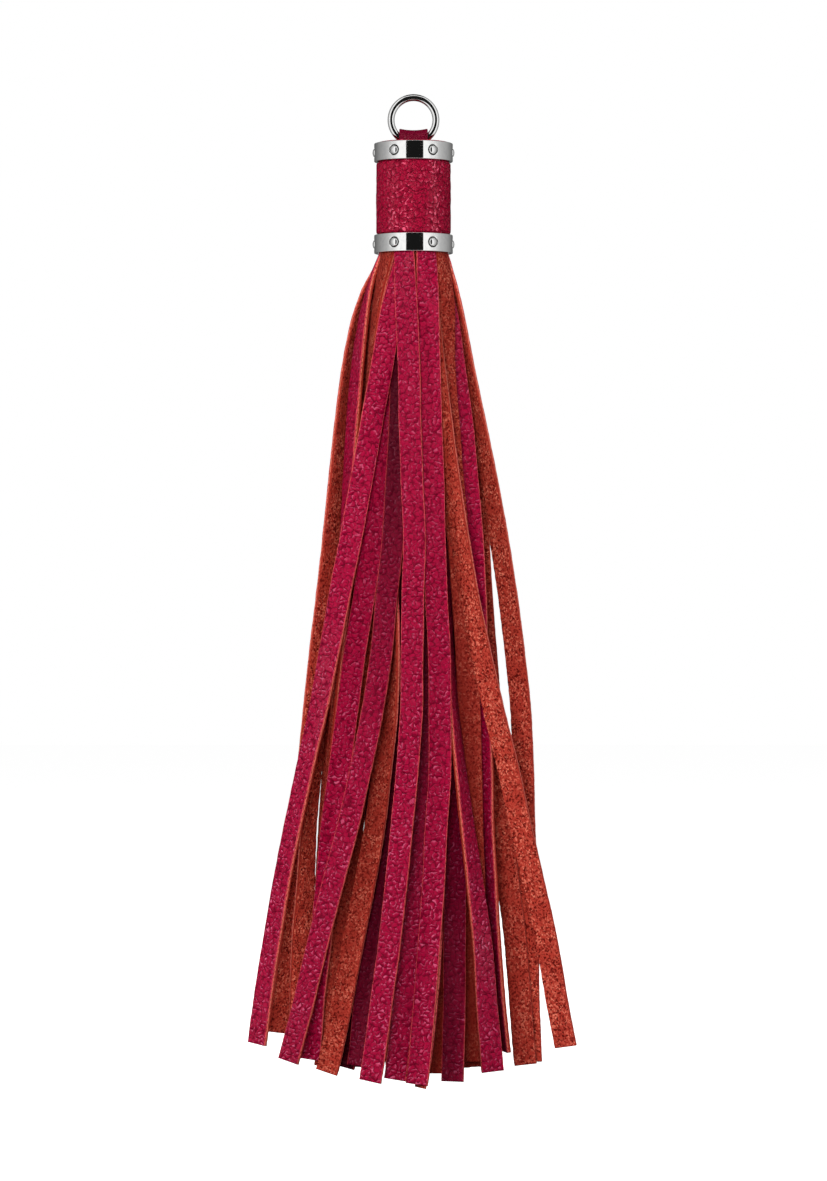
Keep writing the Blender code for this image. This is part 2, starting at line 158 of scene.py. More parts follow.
def tint(red, green, blue):
    # A colour given as a screen shows it, from 0 to 255, in the linear light that shaders use. The numbers
    # below are the usual ones of the curve between the two.
    share = np.array((red, green, blue)) / 255
    linear = np.where(share <= 0.04045, share / 12.92, ((share + 0.055) / 1.055) ** 2.4)
    return (*linear.tolist(), 1.0)


def pointsAt(*coordinates):
    # points from their coordinates, each a number or an array that fits the others
    return np.stack(np.broadcast_arrays(*coordinates), -1)


def gridQuads(rows, columns, closedRows=False, closedColumns=False):
    # Corner numbers of every quad in a grid of points; a closed way joins its last line to its first.
    down = np.arange(rows if closedRows else rows - 1)[:, None]
    across = np.arange(columns if closedColumns else columns - 1)
    here, below = down * columns, (down + 1) % rows * columns
    after = (across + 1) % columns
    return pointsAt(here + across, here + after, below + after, below + across).reshape(-1, 4)


def endCaps(rows, columns, stride):
    # corner numbers of the two faces that close a tube's ends; stride is how many points a row has
    around = np.arange(columns)
    return np.stack((around[::-1], (rows - 1) * stride + around))


def quarter(x, y, radius, start, steps):
    # points on a quarter circle about (x, y) that begins at start, counted in quarter turns from +x
    swing = (start + np.linspace(0, 1, steps)) * math.pi / 2
    return pointsAt(x + radius * np.cos(swing), y + radius * np.sin(swing))


def eased(share):
    # from 0 to 1 and level at both: the square of the share, times 3 less twice the share
    return share * share * (3 - 2 * share)


def runAlong(line, closed=False):
    # how far along a line each of its points is; a closed line goes on to its first point again
    line = np.vstack((line, line[:1])) if closed else line
    return np.concatenate(([0], np.cumsum(np.linalg.norm(np.diff(line, axis=0), axis=1))))


def unrolled(across, along):
    # the corners of every quad of a grid laid out flat, with its lines at these places across and along
    flat = np.stack(np.meshgrid(across, along), -1).reshape(-1, 2)
    return flat[gridQuads(len(along), len(across))]


def hills(across, along, cell, seed):
    # Smooth random heights from -1 to 1: random values on a square lattice, eased between its corners.
    repeat = 64  # cells before the lattice comes round again
    lattice = np.random.default_rng(seed).uniform(-1, 1, (repeat, repeat))
    i = np.floor(across / cell).astype(int)
    j = np.floor(along / cell).astype(int)
    s = eased(across / cell - i)
    t = eased(along / cell - j)
    here, after = (
        lattice[i % repeat, row % repeat] * (1 - s) + lattice[(i + 1) % repeat, row % repeat] * s
        for row in (j, j + 1)
    )
    return here * (1 - t) + after * t


def intoScene(name, data):
    made = bpy.data.objects.new(name, data)
    bpy.context.scene.collection.objects.link(made)
    return made


def makeMesh(name, points, faceSets, placeSets, finishes, finishOf=None, numbers=None):
    # points are in millimetres. faceSets are arrays (faces x corners), and placeSets give each corner's
    # place on the flat map. numbers are values for each point. The signed volume, a sixth of the sum of
    # a . (b x c) over the triangles, turns the faces outwards.
    points = np.asarray(points, float).reshape(-1, 3)
    volume = 0.0
    for faces in faceSets:
        fan = points[faces]
        sides = np.cross(fan[:, 1:-1], fan[:, 2:])
        volume += np.einsum("fk,fsk->", fan[:, 0], sides)
    if volume < 0:
        faceSets = [faces[:, ::-1] for faces in faceSets]
        placeSets = [places[:, ::-1] for places in placeSets]
    mesh = bpy.data.meshes.new(name)
    corners = np.concatenate([faces.ravel() for faces in faceSets]).astype(np.int32)
    counts = np.concatenate([np.full(len(faces), faces.shape[1]) for faces in faceSets])
    mesh.vertices.add(len(points))
    mesh.vertices.foreach_set("co", (points * mm).astype(np.float32).ravel())
    mesh.loops.add(len(corners))
    mesh.loops.foreach_set("vertex_index", corners)
    mesh.polygons.add(len(counts))
    mesh.polygons.foreach_set("loop_start", np.concatenate(([0], np.cumsum(counts)[:-1])).astype(np.int32))
    flat = np.concatenate([places.ravel() for places in placeSets]).astype(np.float32)
    mesh.uv_layers.new(name=flatMap).uv.foreach_set("vector", flat)
    for finish in finishes:
        mesh.materials.append(finish)
    if finishOf is not None:
        mesh.polygons.foreach_set("material_index", np.concatenate(finishOf).astype(np.int32))
    for key, values in (numbers or {}).items():
        layer = mesh.attributes.new(key, "FLOAT", "POINT")
        layer.data.foreach_set("value", np.asarray(values, np.float32).ravel())
    mesh.update(calc_edges=True)
    mesh.validate()
    mesh.shade_smooth()
    return intoScene(name, mesh)


def turned(radius, height, angle, name, finishes, capped=False, numbers=None):
    # A turned surface: x is radius times sin(angle), y is minus radius times cos(angle), z is height.
    # radius and height are grids (along the profile x round the axis). capped closes both ends of an open
    # profile with a small disc; otherwise the profile is a closed loop.
    rows, columns = radius.shape
    points = np.stack((radius * np.sin(angle), -radius * np.cos(angle), height), -1)
    run = runAlong(pointsAt(radius[:, 0], height[:, 0]), closed=not capped)
    faceSets = [gridQuads(rows, columns, closedRows=not capped, closedColumns=True)]
    placeSets = [unrolled(np.append(angle, angle[0] + math.tau) * radius.max(), run)]
    if capped:
        caps = endCaps(rows, columns, columns)
        faceSets.append(caps)
        placeSets.append(points.reshape(-1, 3)[caps][..., :2])
    return makeMesh(name, points, faceSets, placeSets, finishes, numbers=numbers)


polishedPieces = []


def fit(piece, slot, *nodes):
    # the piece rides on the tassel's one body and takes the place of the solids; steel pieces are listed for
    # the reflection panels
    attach(piece, "root")
    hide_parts(*nodes)
    if slot == "polished_steel":
        polishedPieces.append(piece)


def boxOf(node):
    low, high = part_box(node)
    return np.array(low) / mm, np.array(high) / mm


def pieceName(node):
    # rivetTop1 for rivet_top_1
    first, *others = node.split("_")
    return first + "".join(part.title() for part in others)


steelLook = {
    "colour": (0.80, 0.80, 0.79, 1.0),
    "dull": (0.74, 0.74, 0.74, 1.0),
    "recess": (0.012, 0.012, 0.012, 1.0),  # painted shade: near black in the recess round each rivet
    "roughness": 0.055,
    "wear": 0.05,  # added to the roughness where it is worn
    "recessRoughness": 0.3,  # added in a recess
    "clouds": 900.0,  # scales of the wear and of the fine hair lines
    "hairs": 9000.0,
    "hairDepth": 0.001,
    "hairStrength": 0.3,
}


def polishedSteel():
    # Bright all over, with faint clouds of wear, fine hair lines, and matt recesses whose painted shade turns
    # them near black.
    finish = Finish("polishedSteel")
    place = finish.place()
    cloud = finish.add("TexNoise", {}, {"Vector": place, "Scale": steelLook["clouds"], "Detail": 3.0})
    hairs = finish.add("TexNoise", {}, {"Vector": place, "Scale": steelLook["hairs"], "Detail": 1.0})
    recess = finish.number("recess")
    roughness = steelLook["roughness"] + steelLook["wear"] * finish.rise(cloud, 0.45, 0.75)
    body = finish.blend(finish.rise(cloud, 0.4, 0.7), steelLook["colour"], steelLook["dull"])
    return finish.shade(
        # painted shade: the recesses round the rivets turn near black
        Base_Color=finish.blend(finish.rise(recess, 0.35, 0.8), body, steelLook["recess"]),
        Metallic=1.0,
        Roughness=roughness + steelLook["recessRoughness"] * recess,
        Normal=finish.bump(hairs, steelLook["hairDepth"], steelLook["hairStrength"]),
    )


grainLook = {
    "pebble": 1.15,  # across one pebble
    "wander": (0.45, 1.6),  # how rows of pebbles wander, and how their outlines do: the scale and how far
    "wobble": (1.6, 0.5),
    "wrinkles": (1.1, 0.6),  # scale and roughness
    "wrinkled": 0.35,  # how much they tilt the surface
    "clouds": 0.16,  # scale of the calm places
    "calm": 0.5,  # how much of the painted highlights is left in the calmest ones
    "lit": (-0.12, -0.2, 0.0),  # added to each pebble's lean, so that more of the painted highlights fall on this side
    "face": tint(166, 3, 54),
    # the top's colour is the painted highlight
    "top": tint(228, 96, 136),
    # the crease's colour is painted shade, on pebbles' low sides, in the gaps and inside the fringe
    "crease": tint(84, 0, 24),
    "deep": tint(34, 0, 8),  # painted shade of the strips that hang inside the fringe
    "worn": 0.24,  # how far the painted highlights on pebble tops and rims turn to the top's colour
    "hemward": (-130, -250, 1.0, 1.7),  # two heights, and how many times as strong the painted highlights are at each
    "rubs": (),  # the middle and the reach of each band of painted reflection, from side to side
    "rubbing": (1.2, 0.1),  # squares of the way out, in reaches, between which a band's painted reflection fades
    "unrubbed": 0.35,  # the share of the painted highlights that is left beside those bands
    "creased": 0.55,  # how far a pebble's low side, and the gap round it, turn to the crease's colour as painted shade
    "dyed": 0.75,
    "hidden": (0.0, 1.0, 0.0, 0.75),  # tones, and how far they turn a strip to the crease's colour, as painted shade
    "deepest": (0.4, 1.1, 0.0, 0.7),  # and then to the deep one
    "dome": 0.4,  # how much a pebble stands up, beside its lean
    "relief": 0.3,
    "shine": 0.3,  # of the rims' coat, and of the thin one that creases don't have
    "veil": 0.07,
}


def pebbledLeather(name, look, hung=True):
    # Rounded pebbles, each leaning its own way. A pebble's raised side has a painted highlight on its top and
    # rim, its low side runs down into a crease of painted shade, and finer wrinkles break both up. Where
    # bands are given, the painted highlights are strongest in them, as painted reflections. Hung leather is
    # the band's, whose painted highlights grow towards the hem and which turns darker with painted shade
    # inside the fringe.
    finish = Finish(name)
    flat = finish.flat()
    place = finish.drift(finish.drift(flat, *look["wander"]), *look["wobble"])
    middle, number = (finish.cells(place, 1 / look["pebble"], output) for output in ("Position", "Color"))
    edges = finish.cells(place, 1 / look["pebble"], "Distance", "DISTANCE_TO_EDGE")
    # the lean picks the side of each pebble that gets a painted highlight; the other side gets painted shade
    lean = finish.vectors("ADD", finish.centred(number), look["lit"])
    lean = finish.stretch(lean, 1.0, 1.0)  # it lies in the map's plane
    side = finish.vectors("DOT_PRODUCT", finish.vectors("SUBTRACT", place, middle), lean, "Value")
    wrinkles = finish.noise(flat, *look["wrinkles"])
    cloud = finish.noise(flat, look["clouds"])
    tilt = side + look["wrinkled"] * (wrinkles - 0.5)
    # painted shade on each pebble's low side and in the gaps round it
    crease = finish.rise(tilt, -0.06, -0.3)
    gap = finish.rise(edges, 0.11, 0.02) * finish.rise(wrinkles, 0.36, 0.56)
    highlightPatches = finish.rise(cloud, 0.3, 0.62, look["calm"], 1.0)
    # top and rim are painted highlights on the raised side, patchy where the clouds are calm
    top = finish.rise(tilt, 0.0, 0.28) * highlightPatches
    outline = finish.rise(edges, 0.02, 0.08) * finish.rise(edges, 0.46, 0.2)
    rim = finish.rise(tilt, 0.12, 0.24) * outline * highlightPatches
    height = tilt + finish.rise(edges, 0.0, 0.2) * look["dome"]
    colour = finish.blend(crease * look["creased"], look["face"], look["crease"])
    colour = finish.blend(gap * look["dyed"], colour, look["crease"])
    # painted highlights turn the tops and rims pale
    worn = (top + rim) * look["worn"]
    if hung:
        worn = worn * finish.byHeight(*look["hemward"])
    # painted reflection: the highlights are strongest in bands from side to side
    if look["rubs"]:
        across = finish.place("X")
        share = look["unrubbed"]
        for midway, reach in look["rubs"]:
            off = (across - midway * mm) * (1 / (reach * mm))
            share = finish.rise(off * off, *look["rubbing"]) + share
        worn = worn * share
    colour = finish.blend(worn, colour, look["top"])
    if hung:
        # painted shade inside the fringe
        colour = finish.hidden(colour, look["crease"], look["hidden"])
        colour = finish.hidden(colour, look["deep"], look["deepest"])
    return finish.shade(
        Base_Color=colour,
        Roughness=0.5,
        Specular_IOR_Level=0.12,
        Coat_Weight=rim * look["shine"] + look["veil"] * (1 - crease),
        Coat_Roughness=0.3,
        Normal=finish.bump(height, look["relief"]),
    )


suedeLook = {
    "face": tint(184, 60, 47),
    "pale": tint(236, 124, 100),
    "dark": tint(92, 14, 10),
    "drift": (1.5, 0.5),  # how the tufts' outlines wander: the scale and how far
    "tufts": 2.7,  # their scale, and the share of it along the strip
    "longer": 0.8,
    "pits": (1.3, 0.6),  # scale and roughness
    "clouds": 0.15,  # scale of the places with pale tufts
    "pitted": 0.55,  # how far the pits turn dark
    "headward": (-150, -60, 0.0, 0.4),  # two heights, and how far painted shade darkens the nap at each, more towards the head
    "hidden": (0.0, 1.0, 0.0, 0.85),
    "relief": 0.3,
}


def nappedSuede():
    # The flesh side: tufts each of their own shade, a little longer down the strip, with dark pits. Painted
    # shade darkens it towards the head and inside the fringe.
    finish = Finish("nappedSuede")
    flat = finish.flat()
    place = finish.drift(finish.stretch(flat, 1.0, suedeLook["longer"]), *suedeLook["drift"])
    tuft = finish.add("SeparateXYZ", {}, {0: finish.cells(place, suedeLook["tufts"], "Color")})
    pits = finish.noise(flat, *suedeLook["pits"])
    cloud = finish.noise(flat, suedeLook["clouds"])
    body = finish.blend(finish.rise(tuft, 0.0, 0.45), suedeLook["dark"], suedeLook["face"])
    body = finish.blend(finish.rise(tuft, 0.6, 1.0) * finish.rise(cloud, 0.2, 0.7), body, suedeLook["pale"])
    body = finish.blend(finish.rise(pits, 0.45, 0.33, 0.0, suedeLook["pitted"]), body, suedeLook["dark"])
    # painted shade: the nap darkens towards the head
    body = finish.blend(finish.byHeight(*suedeLook["headward"]), body, suedeLook["dark"])
    return finish.shade(
        # painted shade inside the fringe
        Base_Color=finish.hidden(body, suedeLook["dark"], suedeLook["hidden"]),
        Roughness=0.95,
        Specular_IOR_Level=0.15,
        Normal=finish.bump(pits, suedeLook["relief"]),
    )


edgeLook = {
    "grainSide": tint(240, 132, 108),
    "lip": tint(214, 72, 82),  # the corner that turns over onto the grain
    "fleshSide": tint(168, 48, 36),
    "dark": tint(120, 24, 20),
    "fibres": 4.0,  # their scale across the strip
    "longer": 0.3,  # and the share of it along the strip
    "hidden": (0.0, 1.0, 0.0, 0.7),
    "relief": 0.1,
}


def cutEdge():
    # The cut side of the band: fibres that lie along the strip, palest just under the grain, with painted
    # shade inside the fringe.
    finish = Finish("cutEdge")
    fibres = finish.noise(finish.stretch(finish.flat(), 1.0, edgeLook["longer"]), edgeLook["fibres"])
    grainward = finish.number("grainward")
    body = finish.blend(finish.rise(grainward, 0.25, 0.85), edgeLook["fleshSide"], edgeLook["grainSide"])
    body = finish.blend(finish.rise(grainward, 0.8, 0.98), body, edgeLook["lip"])
    body = finish.blend(finish.rise(fibres, 0.55, 0.3), body, edgeLook["dark"])
    return finish.shade(
        # painted shade inside the fringe
        Base_Color=finish.hidden(body, edgeLook["dark"], edgeLook["hidden"]),
        Roughness=0.8,
        Specular_IOR_Level=0.2,
        Normal=finish.bump(fibres, edgeLook["relief"]),
    )


wrapLeather = {
    **grainLook,
    "pebble": 1.2,
    "calm": 0.15,
    "worn": 0.46,
    "relief": 0.26,
    "face": tint(154, 2, 45),
    "top": tint(228, 82, 114),
    "crease": tint(80, 0, 18),
    # two upright bands of painted reflection on the wrap
    "rubs": ((-4.2, 4.0), (6.2, 2.8)),
}
tabLeather = {
    **grainLook,
    "relief": 0.1,
    "face": tint(104, 0, 34),
    "top": tint(120, 6, 44),
    "crease": tint(88, 0, 24),
    "veil": 0.0,
}
steel = polishedSteel()
bandGrain = pebbledLeather("bandGrain", grainLook)
wrapGrain = pebbledLeather("wrapGrain", wrapLeather, hung=False)
tabGrain = pebbledLeather("tabGrain", tabLeather, hung=False)
suede = nappedSuede()
edge = cutEdge()
print("finishes made")


ringCut = {"round": 192, "wire": 64, "power": 2.3}  # quads round the ring and its wire; a circle's power is 2


def makeRing():
    # The middle of the wire goes round a circle about Y, and its section round that. On a section of radius
    # 1 the powers of both ways out add up to 1, so a power above 2 makes it slightly square.
    low, high = boxOf("ring")
    wire = (high[1] - low[1]) / 2
    middle = (high[0] - low[0]) / 2 - wire
    turn = np.linspace(0, math.tau, ringCut["round"] + 1)
    swing = np.linspace(0, math.tau, ringCut["wire"] + 1)
    power = ringCut["power"]
    bulge = wire * (np.abs(np.cos(swing)) ** power + np.abs(np.sin(swing)) ** power) ** (-1 / power)
    reach = (middle + bulge * np.cos(swing))[:-1]
    ahead = (bulge * np.sin(swing))[:-1]
    turns = turn[:-1, None]
    points = pointsAt(reach * np.sin(turns), ahead, (low[2] + high[2]) / 2 + reach * np.cos(turns))
    quads = gridQuads(ringCut["round"], ringCut["wire"], True, True)
    ring = makeMesh("oRing", points, [quads], [unrolled(swing * wire, turn * middle)], [steel])
    fit(ring, "polished_steel", "ring")


makeRing()
print("ring made")


collarLook = {
    "rivets": 6,
    "firstRivet": 30,  # degrees round from the front
    "wall": 0.9,
    "edge": 0.22,  # radius of the rounded edges
    "cornerSteps": 6,
    "step": 0.11,
    "recess": 1.62,  # its radius, its depth and how wide its wall is
    "recessDepth": 0.6,
    "lip": 0.1,
    "skin": 0.5,  # only places this near the face sink
    "beyond": 0.3,  # the close columns run on this far past a recess
    "columns": (34, 16),  # across a recess and between two
}


def collarLoop(outer, foot, top):
    # a closed rectangle with rounded corners, as (radius, height), with more places down its outer side
    edge, step = collarLook["edge"], collarLook["step"]
    left, right = outer - collarLook["wall"] + edge, outer - edge
    corners = ((right, top - edge), (left, top - edge), (left, foot + edge), (right, foot + edge))
    loop = [quarter(*middle, edge, start, collarLook["cornerSteps"]) for start, middle in enumerate(corners)]
    face = np.arange(foot + edge + step, top - edge - step / 2, step)
    return np.vstack((*loop, pointsAt(outer, face)))


def makeCollar(node):
    # A band turned from a rounded strip. Round each rivet its face sinks by a smooth step of the distance.
    low, high = boxOf(node)
    outer = high[0]
    radius, z = collarLoop(outer, low[2], high[2]).T[..., None]
    pitch = math.tau / collarLook["rivets"]
    near = (collarLook["recess"] + collarLook["beyond"]) / outer
    fine, coarse = collarLook["columns"]
    offsets = np.concatenate((np.linspace(-near, near, fine), np.linspace(near, pitch - near, coarse)[1:-1]))
    first = math.radians(collarLook["firstRivet"])
    angle = (first + offsets + pitch * np.arange(collarLook["rivets"])[:, None]).ravel()
    away = ((angle - first + pitch / 2) % pitch - pitch / 2) * outer
    distance = np.hypot(away, z - (low[2] + high[2]) / 2)
    sink = eased(np.clip((collarLook["recess"] - distance) / collarLook["lip"], 0, 1))
    sink = sink * (radius > outer - collarLook["skin"])
    radius = radius - collarLook["recessDepth"] * sink
    # the sink also says where the recess's painted shade goes
    collar = turned(radius, z + 0 * radius, angle, pieceName(node), [steel], numbers={"recess": sink})
    fit(collar, "polished_steel", node)


rivetLook = {
    "radius": 1.24,
    "crown": 12.07,  # how far the middle of the dome, its brim and its foot are from the head's axis
    "brim": 11.45,
    "foot": 10.86,
    "flat": 0.03,  # radius of the small flat in the middle
    "rings": 12,
    "columns": 48,
}


def makeRivet(node):
    # A low dome turned about its own axis, then laid on the collar where its solid is.
    low, high = boxOf(node)
    middle = (low + high) / 2
    out = np.array((middle[0], middle[1], 0.0))
    out /= np.linalg.norm(out)
    crown, brim = rivetLook["crown"], rivetLook["brim"]
    swing = np.linspace(0, math.pi / 2, rivetLook["rings"])[1:]
    radius = np.concatenate(([rivetLook["flat"]], rivetLook["radius"] * np.sin(swing), [rivetLook["radius"]]))
    distance = np.concatenate(([crown], brim + (crown - brim) * np.cos(swing), [rivetLook["foot"]]))
    around = np.linspace(0, math.tau, rivetLook["columns"], endpoint=False)
    disc = radius[:, None, None] * pointsAt(np.cos(around), np.sin(around))
    side = np.array((-out[1], out[0], 0.0))
    up = np.array((0.0, 0.0, 1.0))
    points = out * distance[:, None, None] + disc[..., :1] * side + disc[..., 1:] * up + up * middle[2]
    quads = gridQuads(len(radius), len(around), closedColumns=True)
    caps = endCaps(len(radius), len(around), len(around))
    flat = disc.reshape(-1, 2)
    rivet = makeMesh(pieceName(node), points, [quads, caps], [flat[quads], flat[caps]], [steel])
    fit(rivet, "polished_steel", node)


for node in sorted(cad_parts):
    if node.startswith("collar_"):
        makeCollar(node)
    elif node.startswith("rivet_"):
        makeRivet(node)
print("collars and rivets made")


wrapLook = {
    "inner": 9.7,
    "tucked": 10.4,  # under the collars
    "rim": 0.15,  # rounding of its upper end
    "outer": 11.05,
    "shoulderTop": -18.3,
    "shoulderFoot": -39.3,
    "fall": 0.6,  # from the end of a shoulder's rounding to the next place, under a collar
    "cornerSteps": 7,
    "step": 0.4,
    "hills": 0.09,
    "hillsRound": 24,
    "smaller": (2.5, 0.6),  # the second hills are this many times closer, and this share of the height
    "sunk": 0.05,  # the face is this much inside its radius, on the whole
    "seam": 0.22,  # depth and reach of the groove
    "seamReach": 0.28,
    "flat": (66.0, 29.0),
}


def makeWrap():
    # A thin cylinder of leather, tucked in under both collars and rounded over at their edges. Its face
    # has low random hills, and at the back a narrow groove where the two ends of the leather meet.
    low, high = boxOf("head_wrap")
    foot, end = low[2], high[2]
    top, bottom = wrapLook["shoulderTop"], wrapLook["shoulderFoot"]
    tucked, outer, inner = wrapLook["tucked"], wrapLook["outer"], wrapLook["inner"]
    fall, rim, steps = wrapLook["fall"], wrapLook["rim"], wrapLook["cornerSteps"]
    rounding = outer - tucked
    profile = np.vstack((
        [(inner, foot), (tucked, foot), (tucked, bottom - fall)],
        quarter(tucked, bottom + rounding, rounding, 3, steps),
        pointsAt(outer, np.arange(bottom + rounding, top - rounding, wrapLook["step"])[1:]),
        quarter(tucked, top - rounding, rounding, 0, steps),
        [(tucked, top + fall)],
        quarter(tucked - rim, end - rim, rim, 0, steps),
        quarter(inner + rim, end - rim, rim, 1, steps),
    ))
    columns = int(math.tau * outer / wrapLook["step"])
    turn = np.linspace(0, math.tau, columns, endpoint=False)  # round from the back
    radius, height = np.repeat(profile.T[..., None], columns, 2)
    shown = np.clip((radius - tucked) / rounding, 0, 1)
    cell = math.tau * outer / wrapLook["hillsRound"]
    closer, share = wrapLook["smaller"]
    uneven = hills(turn * outer, height, cell, 3) + share * hills(turn * outer, height, cell / closer, 5)
    fromSeam = np.minimum(turn, math.tau - turn) * outer
    groove = np.exp(-((fromSeam / wrapLook["seamReach"]) ** 2))
    radius = radius + shown * (wrapLook["hills"] * uneven - wrapLook["sunk"] - wrapLook["seam"] * groove)
    wrap = turned(radius, height, math.pi + turn, "headWrap", [wrapGrain])
    fit(wrap, "crimson_leather", "head_wrap")


makeWrap()
print("head wrap made")


tabLook = {
    "width": 8.4,
    "ply": 0.9,
    "cornerRise": 0.5,
    "edge": 0.4,  # radius of the rounded edges
    "cornerSteps": 5,
    "step": 0.6,  # between rows down the legs
    "bendSteps": 40,
    "columns": 25,
}


def makeTab():
    # A strap along a hairpin path: up one leg, over the ring's wire on a half circle and down the other.
    # Its section is a rectangle with rounded corners, and its bend rises by the square of the way across.
    low, high = boxOf("tab")
    ply, width, edge, steps = (tabLook[key] for key in ("ply", "width", "edge", "cornerSteps"))
    bendRadius = high[1] - ply / 2
    bendHeight = high[2] - tabLook["cornerRise"] - high[1]
    legs = np.arange(low[2], bendHeight, tabLook["step"])
    bend = np.linspace(0, math.pi, tabLook["bendSteps"])
    base = np.concatenate((legs, np.full(len(bend), bendHeight), legs[::-1]))[:, None]
    leg = np.ones(len(legs))
    outY = np.concatenate((-leg, -np.cos(bend), leg))[:, None]
    outZ = np.concatenate((0 * leg, np.sin(bend), 0 * leg))[:, None]
    right, upper = width / 2 - edge, ply / 2 - edge
    face = np.linspace(-right, right, tabLook["columns"])[1:-1]
    section = np.vstack((
        quarter(right, upper, edge, 0, steps),
        pointsAt(face[::-1], ply / 2),
        quarter(-right, upper, edge, 1, steps),
        quarter(-right, -upper, edge, 2, steps),
        pointsAt(face, -ply / 2),
        quarter(right, -upper, edge, 3, steps),
    ))
    across, out = section.T
    reach = bendRadius + out
    climb = ((base - low[2]) / (bendHeight - low[2])) ** 2
    lift = tabLook["cornerRise"] * (across / (width / 2)) ** 2
    points = pointsAt(across, reach * outY, base + reach * outZ + lift * climb)
    rows, columns = points.shape[:2]
    quads = gridQuads(rows, columns, closedColumns=True)
    caps = endCaps(rows, columns, columns)[:, ::-1]
    path = np.hstack((bendRadius * outY, base + bendRadius * outZ))
    places = [unrolled(runAlong(section, closed=True), runAlong(path)), np.stack((section, section[::-1]))]
    fit(makeMesh("tabStrap", points, [quads, caps], places, [tabGrain]), "crimson_leather", "tab")


makeTab()
print("tab made")


fringeLook = {
    "top": -45.0,
    "stripWidth": 6.4,
    "solidThickness": 1.5,
    "thickness": 1.3,
    "length": 241.0,  # of the middling strip
    "turnRadii": (9.15, 7.35, 5.55, 3.75, 1.75),  # of the band's rolled turns, where they leave the head
    "rootWidths": (5.7, 4.0, 3.4, 2.8, 1.9),
    "widen": (0.45, 0.2),  # the shown strips are this much wider than the solids, at the root and below
    "fullWidthDrop": 20,
    "neck": 0.87,
    "sideDrops": (45, 90, 140, 190, 240),
    "turnDrops": (45, 140, 240),
    "depthFlare": 1.8,
    "faceFlare": 1.6,
    "levels": (-4.5, 0, 5, 10, 16, 23, 31, 40, 50, 61, 73, 86)
    + (100, 114, 128, 142, 156, 170, 184, 198, 212, 226, 238, 246),
    "freeFrom": 2,  # the first level where the strips part
    "easeRounds": 400,
    "easeApart": 0.55,
    "pushShare": 0.3,
    "mostPush": 0.6,
    "pullBack": 0.06,
    "turnBack": 0.05,
    "firstSmoothing": 0.25,
    "lastSmoothing": 0.02,
    "sidewaysShare": 0.3,  # crossing strips part mostly front to back
    "finePlaces": 1000,  # down a path, before it is cut into rows
    "rowStep": 0.5,
    "edge": 0.2,
    "outside": 0.9,  # share of the fringe's half width inside which painted shade begins on the strips
    "hiding": 0.55,  # and the share over which that grows
    "under": (0.9, 150),  # how much painted shade the inner turns get at their roots, and the drop where that ends
    "shades": 0.3,  # most that a strip is deeper than its neighbours by chance
}
fringePieces = {  # the turns of the roll whose strips are one piece
    "fringeOuterTurn": (0,),
    "fringeSecondTurn": (1,),
    "fringeThirdTurn": (2,),
    "fringeInnerTurns": (3, 4),
}

